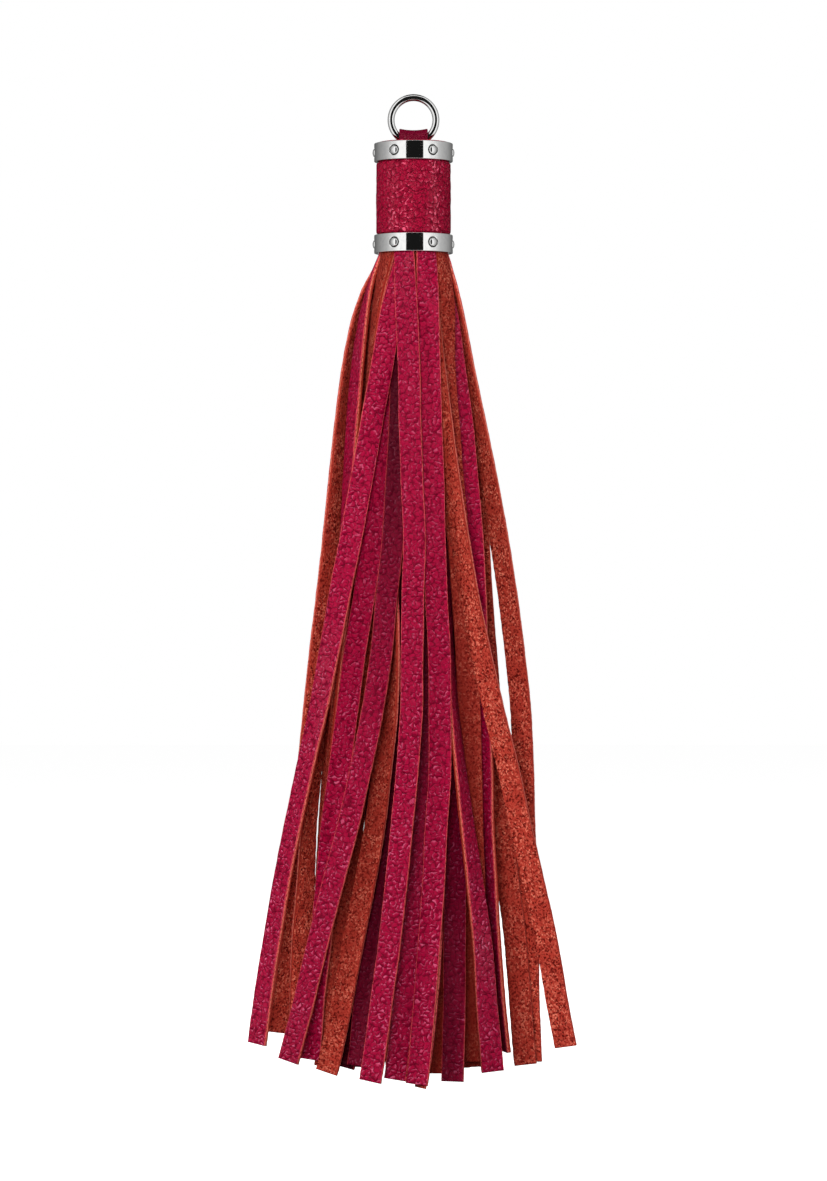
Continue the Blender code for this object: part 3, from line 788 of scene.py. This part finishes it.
# One row for each strip: the turn of the roll, where its root is in degrees round from the front, how much
# faster than down to its first fold it spreads there, how far right of the middle it hangs at each side
# drop, how far behind the middle at each turn drop, where its grain looks there, 0 to the front and 90 to
# the right, and its length.
strips = (
    (0, -17, 1.4, (-0.8, 0.6, -0.2, -5.2, -12.4), (-15, -19, -22), (-5, -8, -15), 243.5),
    (0, 23, 1.4, (4.8, 6.2, 8.9, 5.6, 1.0), (-14, -16, -19), (8, 0, -18), 244),
    (0, 62, 1.4, (8.4, 13.3, 15.6, 18.3, 17.7), (-9, -8, -3), (-165, -182, -176), 239),
    (0, 101, 1.6, (17.0, 26.8, 33.2, 33.2, 34.8), (-2, 2, 6), (128, 150, 168), 241.5),
    (0, 142, 1.6, (17.7, 18.8, 23.0, 28.9, 33.4), (6, 4, 2), (150, 165, 175), 242),
    (0, 184, 1.4, (1, 3, 6, 8, 9), (16, 20, 22), (178, 172, 186), 243),
    (0, 228, 3, (-20.7, -23.9, -31.0, -32.8, -43.0), (3, -4, -5), (-122, -150, -150), 233.5),
    (0, -90, 3, (-17.4, -19.3, -28.3, -32.7, -33.8), (-4, -6, -5), (-52, -110, -165), 239),
    (0, -54, 3, (-12.7, -18.2, -25.2, -28.2, -29.5), (-8, -8, -4), (105, 115, 120), 237.5),
    (1, 15, 1.4, (7.0, 13.6, 24.3, 37.2, 46.2), (-12, -15, -14), (125, 158, 160), 237),
    (1, 62, 1.4, (13.1, 18.0, 20.1, 21.8, 28.3), (-5, -6, -2), (15, -35, -80), 236.5),
    (1, 105, 1.4, (11, 13, 14, 15, 16), (2, 5, 9), (105, 120, 140), 240.5),
    (1, 145, 1.4, (9, 11, 14, 17, 19), (9, 11, 13), (150, 160, 150), 242),
    (1, 187, 1.4, (-3, -4, -5, -5, -5), (11, 13, 15), (187, 190, 180), 242.5),
    (1, 229, 1.6, (-11, -14, -18, -21, -22), (12, 15, 18), (215, 205, 200), 241.5),
    (1, -95, 1.8, (-14.5, -19.5, -24, -25, -24.5), (3, 5, 8), (-145, -160, -160), 240),
    (1, -57, 1.4, (-4.9, -12.4, -20.6, -26.5, -30.7), (-8.5, -12, -8), (-10, -20, -25), 239),
    (1, -22, 1.4, (-10.2, -18.8, -28.9, -40.2, -47.5), (-11.5, -14.5, -12), (20, -48, -36), 236.5),
    (2, -30, 1.4, (-3.4, -5.7, -11.1, -25.0, -38.0), (-10.4, -15, -14), (-15, -12, -28), 241),
    (2, 30, 1.4, (8.5, 11.0, 11.0, 19.5, 23.2), (-5, -13, -11), (25, 75, 5), 241.5),
    (2, 85, 1.4, (9.0, 11.5, 12.0, 14.5, 16.5), (-2, -4, 0), (120, 172, 180), 240.5),
    (2, 145, 1.4, (6, 7, 8, 11, 14), (6, 7, 9), (150, 160, 170), 241.5),
    (2, 205, 1.4, (-7, -8, -10, -12, -15), (5, 6, 9), (200, 205, 190), 241.5),
    (2, -90, 1.4, (-8.0, -9.5, -14.5, -20.4, -27.0), (-5, -7, -5), (-115, -160, -170), 240.5),
    (3, -25, 1.4, (-5.0, -3.7, -6.3, -14.7, -25.7), (-8.4, -11.5, -11), (-5, 148, 155), 242.5),
    (3, 50, 1.4, (5.5, 8.0, 9.5, 12.0, 11.4), (-3, -8.5, -12), (25, 2, -10), 243.5),
    (3, 150, 1.4, (2, 2, 1, 2, 5), (3, 6, 7), (150, 165, 180), 242),
    (3, -110, 1.4, (-6.5, -8.5, -9.5, -11.8, -21.0), (0, -4, -5), (-70, -28, -24), 240.5),
    (4, 0, 1.4, (2.0, 2.8, 4.1, 0.0, -5.4), (-6, -11, -16), (5, -10, -15), 243),
    (4, 90, 1.4, (3.5, 7.0, 10.0, 11.2, 2.7), (-2, -8, -15), (90, 95, 110), 245.5),
    (4, -90, 1.4, (-3, -3.5, -5, -10.0, -17.1), (-3, -8, -12), (-50, -22, -20), 239.5),
    (4, 180, 1.4, (0, 2, 4, 7.0, 6.8), (1, -2, -7), (180, 180, 175), 241.5),
)


def smoothThrough(knots, values, at, firstSlope=None):
    # A cubic through the values at the knots, its slope at each the mean of the chords beside it.
    knots = np.asarray(knots, float)
    values = np.asarray(values, float)
    chords = np.diff(values, axis=0) / np.diff(knots)[:, None]
    slopes = np.vstack((chords[:1], (chords[1:] + chords[:-1]) / 2, chords[-1:]))
    if firstSlope is not None:
        slopes[0] = firstSlope * chords[0]
    at = np.clip(np.asarray(at, float), knots[0], None)
    left = np.clip(np.searchsorted(knots, at, side="right") - 1, 0, len(knots) - 2)
    span = (knots[left + 1] - knots[left])[:, None]
    t = (at - knots[left])[:, None] / span
    beyond = np.clip(t - 1, 0, None) * span
    t = np.minimum(t, 1)
    rest = t - 1
    return (
        values[left] * (1 + 2 * t) * rest**2
        + slopes[left] * span * t * rest**2
        + values[left + 1] * t**2 * (3 - 2 * t)
        + slopes[left + 1] * span * t**2 * rest
        + slopes[left + 1] * beyond
    )


def wantedPaths():
    # The middle of each strip (strips x levels x 2) and where its grain looks, in radians.
    look = fringeLook
    levels = np.array(look["levels"], float)
    sideKnots = (0, *look["sideDrops"])
    turnKnots = (0, *look["turnDrops"])
    middles = []
    faces = []
    for turn, rootAngle, flare, side, depth, face, _ in strips:
        root = math.radians(rootAngle)
        start = look["turnRadii"][turn] * np.array((math.sin(root), -math.cos(root)))
        x = smoothThrough(sideKnots, [[start[0]], *([v] for v in side)], levels, flare)
        y = smoothThrough(turnKnots, [[start[1]], *([v] for v in depth)], levels, look["depthFlare"])
        middle = np.hstack((x, y))
        middle[0] = start * look["neck"]
        rootFace = min((rootAngle + 180 * half for half in range(-3, 4)), key=lambda a: abs(a - face[0]))
        looks = smoothThrough(turnKnots, [[rootFace], *([v] for v in face)], levels, look["faceFlare"])
        middles.append(middle)
        faces.append(np.radians(looks[:, 0]))
    return np.array(middles), np.array(faces)


def widthsAt(drops):
    # each strip's width at these drops (strips x drops), narrow where the turns are packed together
    roots = np.array([fringeLook["rootWidths"][strip[0]] for strip in strips])[:, None]
    growth = eased(np.clip(np.asarray(drops, float) / fringeLook["fullWidthDrop"], 0, 1))
    return roots + (fringeLook["stripWidth"] - roots) * growth


def nearestOn(point, start, along):
    # how far along a segment, from 0 to 1, the nearest place to a point lies
    return np.clip(((point - start) * along).sum(-1) / (along**2).sum(-1), 0, 1)


def crossed(one, other):
    return one[..., 0] * other[..., 1] - one[..., 1] * other[..., 0]


def easeApart(middles, faces):
    # Moves the strips' sections, level by level, until no two are nearer than easeApart, while each keeps
    # its width, runs smoothly down its levels and stays near its wanted place.
    look = fringeLook
    first, second = np.triu_indices(len(strips), 1)
    thickness = look["solidThickness"]
    half = (widthsAt(look["levels"])[..., None] - thickness) / 2
    needed = thickness + look["easeApart"]
    tiny = 1e-9  # keeps divisions away from 0
    rounds = look["easeRounds"]
    free = look["freeFrom"]
    mostPush = look["mostPush"]
    smoothest, least = look["firstSmoothing"], look["lastSmoothing"]
    wanted = middles.copy()
    wantedAcross = np.stack((np.cos(faces), np.sin(faces)), -1)
    across = wantedAcross.copy()
    for done in range(rounds):
        loose = 1 - done / rounds
        a = middles - half * across
        b = middles + half * across
        pushA = np.zeros_like(a)
        pushB = np.zeros_like(b)
        a1, b1, a2, b2 = a[first], b[first], a[second], b[second]
        options = []
        for point, share1 in ((a1, 0.0), (b1, 1.0)):
            t = nearestOn(point, a2, b2 - a2)
            options.append((point - (a2 + t[..., None] * (b2 - a2)), np.full(t.shape, share1), t))
        for point, share2 in ((a2, 0.0), (b2, 1.0)):
            t = nearestOn(point, a1, b1 - a1)
            options.append(((a1 + t[..., None] * (b1 - a1)) - point, t, np.full(t.shape, share2)))
        away, along1, along2 = (np.stack(parts) for parts in zip(*options))
        distance = np.linalg.norm(away, axis=-1)
        best = distance.argmin(0)[None]
        away = np.take_along_axis(away, best[..., None], 0)[0]
        nearest = [np.take_along_axis(part, best, 0)[0] for part in (distance, along1, along2)]
        distance, along1, along2 = nearest
        # Two crossing sections part along the line between their middles.
        d1, d2, between = b1 - a1, b2 - a2, a2 - a1
        cross = crossed(d1, d2)
        cross = np.where(np.abs(cross) < tiny, tiny, cross)
        s = crossed(between, d2) / cross
        t = crossed(between, d1) / cross
        crossing = (s > 0) & (s < 1) & (t > 0) & (t < 1)
        apart = middles[first] - middles[second]
        apart[..., 0] *= look["sidewaysShare"]
        apart /= np.linalg.norm(apart, axis=-1, keepdims=True) + tiny
        direction = np.where(crossing[..., None], apart, away / (distance[..., None] + tiny))
        lack = np.where(crossing, needed, np.clip(needed - distance, 0, None)) * look["pushShare"]
        for index, along, sign in ((first, along1, 1), (second, along2, -1)):
            along = np.where(crossing, 0.5, along)
            weight = (1 - along) ** 2 + along**2
            move = sign * direction * lack[..., None] / weight[..., None] / 2
            np.add.at(pushA, index, move * (1 - along)[..., None])
            np.add.at(pushB, index, move * along[..., None])
        a += np.clip(pushA, -mostPush, mostPush)
        b += np.clip(pushB, -mostPush, mostPush)
        moved = (a + b) / 2
        facing = (b - a) / np.linalg.norm(b - a, axis=-1, keepdims=True)
        moved += look["pullBack"] * loose * (wanted - moved)
        facing += look["turnBack"] * loose * (wantedAcross - facing)
        smooth = least + (smoothest - least) * loose
        for field in (moved, facing):
            field[:, 1:-1] += smooth * ((field[:, :-2] + field[:, 2:]) / 2 - field[:, 1:-1])
        facing /= np.linalg.norm(facing, axis=-1, keepdims=True)
        middles[:, free:] = moved[:, free:]
        across[:, free:] = facing[:, free:]
    return middles, across


stripLook = {
    "grainColumns": 9,
    "suedeColumns": 5,
    "cup": 0.4,  # how far a root bows out with the roll
    "cupDrop": 26.0,
    "freeing": (8, 40),  # the drop where a strip begins to sway and curl, and how long that takes to grow
    "sway": 0.3,
    "swayCell": 17.0,
    "swayApart": 7.3,  # cells between two strips' courses over the random hills
    "curl": 0.22,
    "curlCell": 23.0,
    "curlApart": 5.7,
    "mapHalves": (3.0, 0.5),  # half the strip's width and thickness on its flat map, without the edges
    "mapApart": (20, 37),  # between two strips on the map, across and along
    "mapPlaces": 7,  # places along the map before they begin again
    "hills": 0.07,
    "hillCell": 3.1,
    "smallCell": 1.3,  # the smaller hills, and how high they are beside the others
    "smallShare": 0.5,
    "fray": 0.07,
    "frayCell": 0.9,
}


def stripSection():
    # The section's columns, once round from the grain's left edge: shares of the half width and half
    # thickness (out to the corners' centres), the outward direction, and each quad's finish, which is 0 for
    # grain, 1 for suede and 2 for a cut edge.
    grain = np.linspace(-1, 1, stripLook["grainColumns"])
    back = np.linspace(1, -1, stripLook["suedeColumns"])
    slant = math.sqrt(0.5)
    rightEdge = ((1, 1, slant, slant), (1, 1, 1, 0), (1, -1, 1, 0), (1, -1, slant, -slant))
    leftEdge = ((-1, -1, -slant, -slant), (-1, -1, -1, 0), (-1, 1, -1, 0), (-1, 1, -slant, slant))
    columns = [(a, 1, 0, 1) for a in grain] + list(rightEdge)
    columns += [(a, -1, 0, -1) for a in back] + list(leftEdge)
    finish = [0] * (len(grain) - 1) + [2, 2, 2, 2, 1] + [1] * (len(back) - 1) + [1, 2, 2, 2, 2]
    return np.array(columns, float), np.array(finish)


def cutRows():
    # At even steps down the eased path of each strip, x and y of its middle and of the way across it, its
    # height, its width and how far along it is, as one array (strips x rows x 7).
    middles, across = easeApart(*wantedPaths())
    count = len(strips)
    levels = np.array(fringeLook["levels"], float)
    knots = np.concatenate((middles, across), -1).transpose(1, 0, 2).reshape(len(levels), -1)
    fine = np.linspace(levels[0], levels[-1], fringeLook["finePlaces"])
    smooth = smoothThrough(levels, knots, fine).reshape(len(fine), count, 4).transpose(1, 0, 2)
    paths = np.dstack((smooth, np.repeat((fringeLook["top"] - fine)[None], count, 0), widthsAt(fine)))
    rows = int(fringeLook["length"] / fringeLook["rowStep"])
    cut = []
    for path, strip in zip(paths, strips):
        run = runAlong(path[:, (0, 1, 4)]) + levels[0]
        at = np.linspace(levels[0], strip[-1], rows)
        cut.append(np.stack([np.interp(at, run, column) for column in (*path.T, run)], -1))
    return np.array(cut)


def strayed(way, along, seed):
    # how far each strip strays from its path, as its own course over random hills has it
    begin, growth = stripLook["freeing"]
    cell = stripLook[way + "Cell"]
    course = np.arange(len(strips))[:, None] * stripLook[way + "Apart"] * cell
    return np.clip((along - begin) / growth, 0, 1) * stripLook[way] * hills(course, along, cell, seed)


def sweepStrips(section):
    # Points (strips x rows x columns x 3): a rounded section carried down the path of each strip. Their
    # places on the flat map have one more column, where the first comes round again.
    cut = cutRows()
    middle, along = cut[..., (0, 1, 4)], cut[..., 6]
    width = cut[..., 5] + np.interp(along, (0, fringeLook["fullWidthDrop"]), fringeLook["widen"])
    down = np.gradient(middle, axis=1)
    down /= np.linalg.norm(down, axis=-1, keepdims=True)
    wide = pointsAt(cut[..., 2], cut[..., 3], 0.0)
    wide -= (wide * down).sum(-1, keepdims=True) * down
    wide /= np.linalg.norm(wide, axis=-1, keepdims=True)
    out = -np.cross(wide, down)  # to the grain side
    middle = middle + wide * strayed("sway", along, 11)[..., None]
    roots = np.radians([strip[1] for strip in strips])
    outward = np.sign((out[:, 0] * pointsAt(np.sin(roots), -np.cos(roots), 0)).sum(-1))[:, None]
    cup = outward * stripLook["cup"] * np.exp(-((np.clip(along, 0, None) / stripLook["cupDrop"]) ** 2))
    cup = cup + strayed("curl", along, 13)
    a, c, nx, ny = section.T
    edge = fringeLook["edge"]
    halfWidth = width[..., None] / 2
    x = (halfWidth - edge) * a + edge * nx
    y = (fringeLook["thickness"] / 2 - edge) * c + edge * ny + cup[..., None] * (1 - (x / halfWidth) ** 2)
    mapWidth, mapThick = stripLook["mapHalves"]
    girth = runAlong(pointsAt(mapWidth * a + edge * nx, mapThick * c + edge * ny), closed=True)
    apartAcross, apartAlong = stripLook["mapApart"]
    number = np.arange(len(strips))[:, None, None]
    mapAlong = along[..., None] + apartAlong * (number % stripLook["mapPlaces"])
    places = pointsAt(girth + apartAcross * number, mapAlong)
    here = places[..., :-1, 0], places[..., :-1, 1]
    rough = hills(*here, stripLook["hillCell"], 17)
    rough += stripLook["smallShare"] * hills(*here, stripLook["smallCell"], 19)
    fray = hills(*here, stripLook["frayCell"], 23)
    onGrain = ny > 0.5
    lift = np.where(onGrain, stripLook["hills"] * rough, stripLook["fray"] * fray)
    x = x + lift * nx
    y = y + lift * ny
    return middle[:, :, None] + x[..., None] * wide[:, :, None] + y[..., None] * out[:, :, None], places


def hiddenShare(points):
    # How much painted shade a place gets: 0 on the outside of the fringe to 1 inside it, by the distance from
    # the axis as a share of the fringe's own half width and half depth at that height.
    halves = np.abs(points[..., :2]).max((0, 2))
    share = np.linalg.norm(points[..., :2] / halves[:, None], axis=-1)
    return eased(np.clip((fringeLook["outside"] - share) / fringeLook["hiding"], 0, 1))


def makeFringe():
    # The strips of a turn of the roll are one piece. Their tone and shade is painted shade by how hidden a
    # place is, and at the roots of the inner turns, with a little random tone more or less for each strip,
    # and grainward goes from 0 on the flesh side to 1 on the grain.
    section, finish = stripSection()
    points, places = sweepStrips(section)
    count, rows, columns = points.shape[:3]
    quads = gridQuads(rows, columns, closedColumns=True)
    mapQuads = gridQuads(rows, columns + 1)
    ends = endCaps(rows, columns, columns)
    mapEnds = endCaps(rows, columns, columns + 1)
    turnOf = np.array([strip[0] for strip in strips])
    most, gone = fringeLook["under"]
    drop = fringeLook["top"] - points[..., 2]
    # painted shade: the inner turns at their roots, and every place by how hidden it is; each strip also gets
    # a random tone
    under = most * np.clip(1 - drop / gone, 0, 1) * (turnOf > 1)[:, None, None]
    shade = np.random.default_rng(21).uniform(0, fringeLook["shades"], count)[:, None, None]
    shade = shade + np.maximum(hiddenShare(points), under)
    for name, turns in fringePieces.items():
        picked = np.flatnonzero(np.isin(turnOf, turns))
        offsets = (np.arange(len(picked)) * rows * columns)[:, None, None]
        faces = (quads[None] + offsets).reshape(-1, 4)
        caps = (ends[None] + offsets).reshape(-1, columns)
        flats = places[picked].reshape(len(picked), -1, 2)
        placeSets = [np.concatenate(flats[:, corners]) for corners in (mapQuads, mapEnds)]
        finishOf = [np.tile(finish, (rows - 1) * len(picked)), np.full(len(caps), 2)]
        numbers = {"tone": shade[picked], "grainward": np.tile((1 + section[:, 1]) / 2, rows * len(picked))}
        finishes = [bandGrain, suede, edge]
        piece = makeMesh(name, points[picked], [faces, caps], placeSets, finishes, finishOf, numbers)
        fit(piece, "crimson_band", "fringe")


makeFringe()
print("fringe made")


rollLook = {
    "radius": 9.4,
    "top": -14.4,
    "foot": -44.2,
    "hole": 0.05,  # left in the middle, and closed by the end caps
    "step": 0.13,
    "columns": 240,
    "pitch": 1.6,
    "groove": 0.35,
    "grooveReach": 0.13,  # as a share of the pitch
    "hills": 0.12,
    "hillCell": 1.1,
    "heightsDown": (0.8, 25.8),  # of two rows down its side, below the top
}


def makeRoll():
    # The top of the rolled band: a disc whose height dips where the next turn of the spiral begins, at
    # whole numbers of (radius / pitch - angle / full turn). Below it is a plain cylinder.
    outer, foot, count = rollLook["radius"], rollLook["foot"], rollLook["columns"]
    reach = np.append(np.arange(rollLook["hole"], outer, rollLook["step"]), outer)[:, None]
    angle = np.linspace(0, math.tau, count, endpoint=False)
    share = (reach / rollLook["pitch"] - angle / math.tau) % 1
    dip = np.exp(-((np.minimum(share, 1 - share) / rollLook["grooveReach"]) ** 2))
    rough = hills(reach * np.cos(angle), reach * np.sin(angle), rollLook["hillCell"], 31)
    top = rollLook["top"] - rollLook["groove"] * dip + rollLook["hills"] * rough
    sides = [(outer, rollLook["top"] - down) for down in rollLook["heightsDown"]]
    lower = np.array((*sides, (outer, foot), (rollLook["hole"], foot)))[:, None]
    radius = np.repeat(np.vstack((reach, lower[..., 0])), count, 1)
    height = np.vstack((top, np.repeat(lower[..., 1], count, 1)))
    roll = turned(radius, height, angle, "rolledBand", [edge], capped=True)
    fit(roll, "crimson_band", "fringe")


makeRoll()
print("rolled band made")


stageLook = {
    "white": (1.0, 1.0, 1.0, 1.0),
    "floor": -330.0,
    "floorReach": 4000.0,
    "ambient": 0.16,  # brightness of the surroundings as the tassel gets it
}
tentLook = {
    "radius": 950.0,
    "low": -2200.0,
    "high": 2200.0,
    # brightness by degrees round from the camera, positive to the right
    "angles": (-180, -148, -132, -115, -90, -62, -45, 0, 45, 62, 90, 115, 132, 148, 180),
    "glow": (0.1, 0.16, 0.24, 0.34, 0.48, 0.8, 1.15, 1.25, 1.15, 0.85, 0.54, 0.4, 0.28, 0.18, 0.1),
    "card": (-22.0, 29.0, -1000.0, 1000.0),  # the dark card before the camera: degrees, then heights
    "cardGlow": 0.01,
    "cardBlur": 30.0,  # height over which the card's upper and lower edges fade
    "rows": (8, 12),  # above and below the card, and on it
    "columns": 721,
}


def makeFloor():
    reach, level = stageLook["floorReach"], stageLook["floor"]
    corners = [(-reach, -reach, level), (reach, -reach, level), (reach, reach, level), (-reach, reach, level)]
    mesh = bpy.data.meshes.new("floor")
    mesh.from_pydata([Vector(corner) * mm for corner in corners], [], [(0, 1, 2, 3)])
    mesh.materials.append(Finish("paleFloor").shade(
        Base_Color=(0.9, 0.9, 0.9, 1.0),
        Roughness=0.9,
        Emission_Color=stageLook["white"],
        Emission_Strength=0.85,
    ))
    floor = intoScene("floor", mesh)
    floor.visible_glossy = False
    floor.visible_diffuse = False


def panelLight():
    # light as strong as the mesh's glow says
    finish = Finish("panelLight")
    glow = finish.add("Attribute", {"attribute_name": "glow"}, output="Color")
    light = finish.add("Emission", {}, {"Color": glow, "Strength": 1.0})
    finish.add("OutputMaterial", {}, {"Surface": light})
    return finish.material


def makeTent():
    # Soft panels round the tassel with a dark card before the camera, seen only as reflections in steel.
    angle = np.linspace(-math.pi, math.pi, tentLook["columns"])
    left, right, cardLow, cardHigh = tentLook["card"]
    blur = tentLook["cardBlur"]
    beside, onIt = tentLook["rows"]
    height = np.concatenate((
        np.linspace(tentLook["low"], cardLow - blur, beside),
        np.linspace(cardLow, cardHigh, onIt),
        np.linspace(cardHigh + blur, tentLook["high"], beside),
    ))[:, None]
    points = pointsAt(tentLook["radius"] * np.sin(angle), -tentLook["radius"] * np.cos(angle), height)
    mesh = bpy.data.meshes.new("reflectionPanels")
    quads = gridQuads(len(height), len(angle))
    mesh.from_pydata((points.reshape(-1, 3) * mm).tolist(), [], quads.tolist())
    degrees = np.degrees(angle)
    onCard = (degrees > left) & (degrees < right) & (height >= cardLow) & (height <= cardHigh)
    glow = np.where(onCard, tentLook["cardGlow"], np.interp(degrees, tentLook["angles"], tentLook["glow"]))
    layer = mesh.attributes.new("glow", "FLOAT_COLOR", "POINT")
    layer.data.foreach_set("color", pointsAt(glow, glow, glow, 1.0).astype(np.float32).ravel())
    mesh.materials.append(panelLight())
    tent = intoScene("reflectionPanels", mesh)
    for ray in ("camera", "diffuse", "shadow", "transmission", "volume_scatter"):
        setattr(tent, "visible_" + ray, False)
    polished = bpy.data.collections.new("polished")
    for piece in polishedPieces:
        polished.objects.link(piece)
    tent.light_linking.receiver_collection = polished


lightLook = {  # each light's place, its width and height, its power, and whether steel shows it
    "left": ((-1150, -510, -50), (250, 900), 6.0, True),
    "right": ((1150, -510, -50), (250, 900), 5.5, True),
    "front": ((-160, -1450, 200), (500, 500), 13.5, False),
    "high": ((-250, -1050, 700), (500, 220), 5.0, True),
    "above": ((0, 100, 1100), (700, 700), 2.0, False),
    "behindLeft": ((-900, 1000, 300), (600, 900), 5.0, False),
    "behindRight": ((900, 1000, 300), (600, 900), 5.0, False),
}


def makeLights():
    aim = Vector((0, 0, -150))  # the middle of the tassel
    for name, (place, size, power, glints) in lightLook.items():
        data = bpy.data.lights.new(name, "AREA")
        data.shape = "RECTANGLE"
        data.size, data.size_y = (side * mm for side in size)
        data.energy = power
        light = intoScene(name, data)
        light.location = Vector(place) * mm
        light.rotation_euler = (aim - Vector(place)).to_track_quat("-Z", "Y").to_euler()
        light.visible_camera = False
        light.visible_glossy = glints


def makeWorld():
    # White behind everything, and a softer white as the light that reaches the tassel.
    world = bpy.data.worlds.new("studio")
    bpy.context.scene.world = world
    world.use_nodes = True
    tree = world.node_tree
    shade = tree.nodes["Background"]
    path = tree.nodes.new("ShaderNodeLightPath")
    pick = tree.nodes.new("ShaderNodeMapRange")
    tree.links.new(path.outputs["Is Camera Ray"], pick.inputs["Value"])
    pick.inputs["To Min"].default_value = stageLook["ambient"]
    pick.inputs["To Max"].default_value = 1.0
    tree.links.new(pick.outputs[0], shade.inputs["Strength"])
    shade.inputs["Color"].default_value = stageLook["white"]
    world.cycles_visibility.glossy = False


cameraLook = {"place": (0.0, -1300.0, -144.4), "lens": 134.3, "sensor": 36.0, "clip": (50.0, 50000.0)}


def makeCamera():
    data = bpy.data.cameras.new("camera")
    data.lens = cameraLook["lens"]
    data.sensor_width = cameraLook["sensor"]
    data.clip_start, data.clip_end = (distance * mm for distance in cameraLook["clip"])
    camera = intoScene("camera", data)
    camera.location = Vector(cameraLook["place"]) * mm
    camera.rotation_euler = (math.pi / 2, 0, 0)
    bpy.context.scene.camera = camera


makeFloor()
makeTent()
makeLights()
makeWorld()
makeCamera()
bpy.context.scene.view_settings.view_transform = "Standard"
print("stage set")
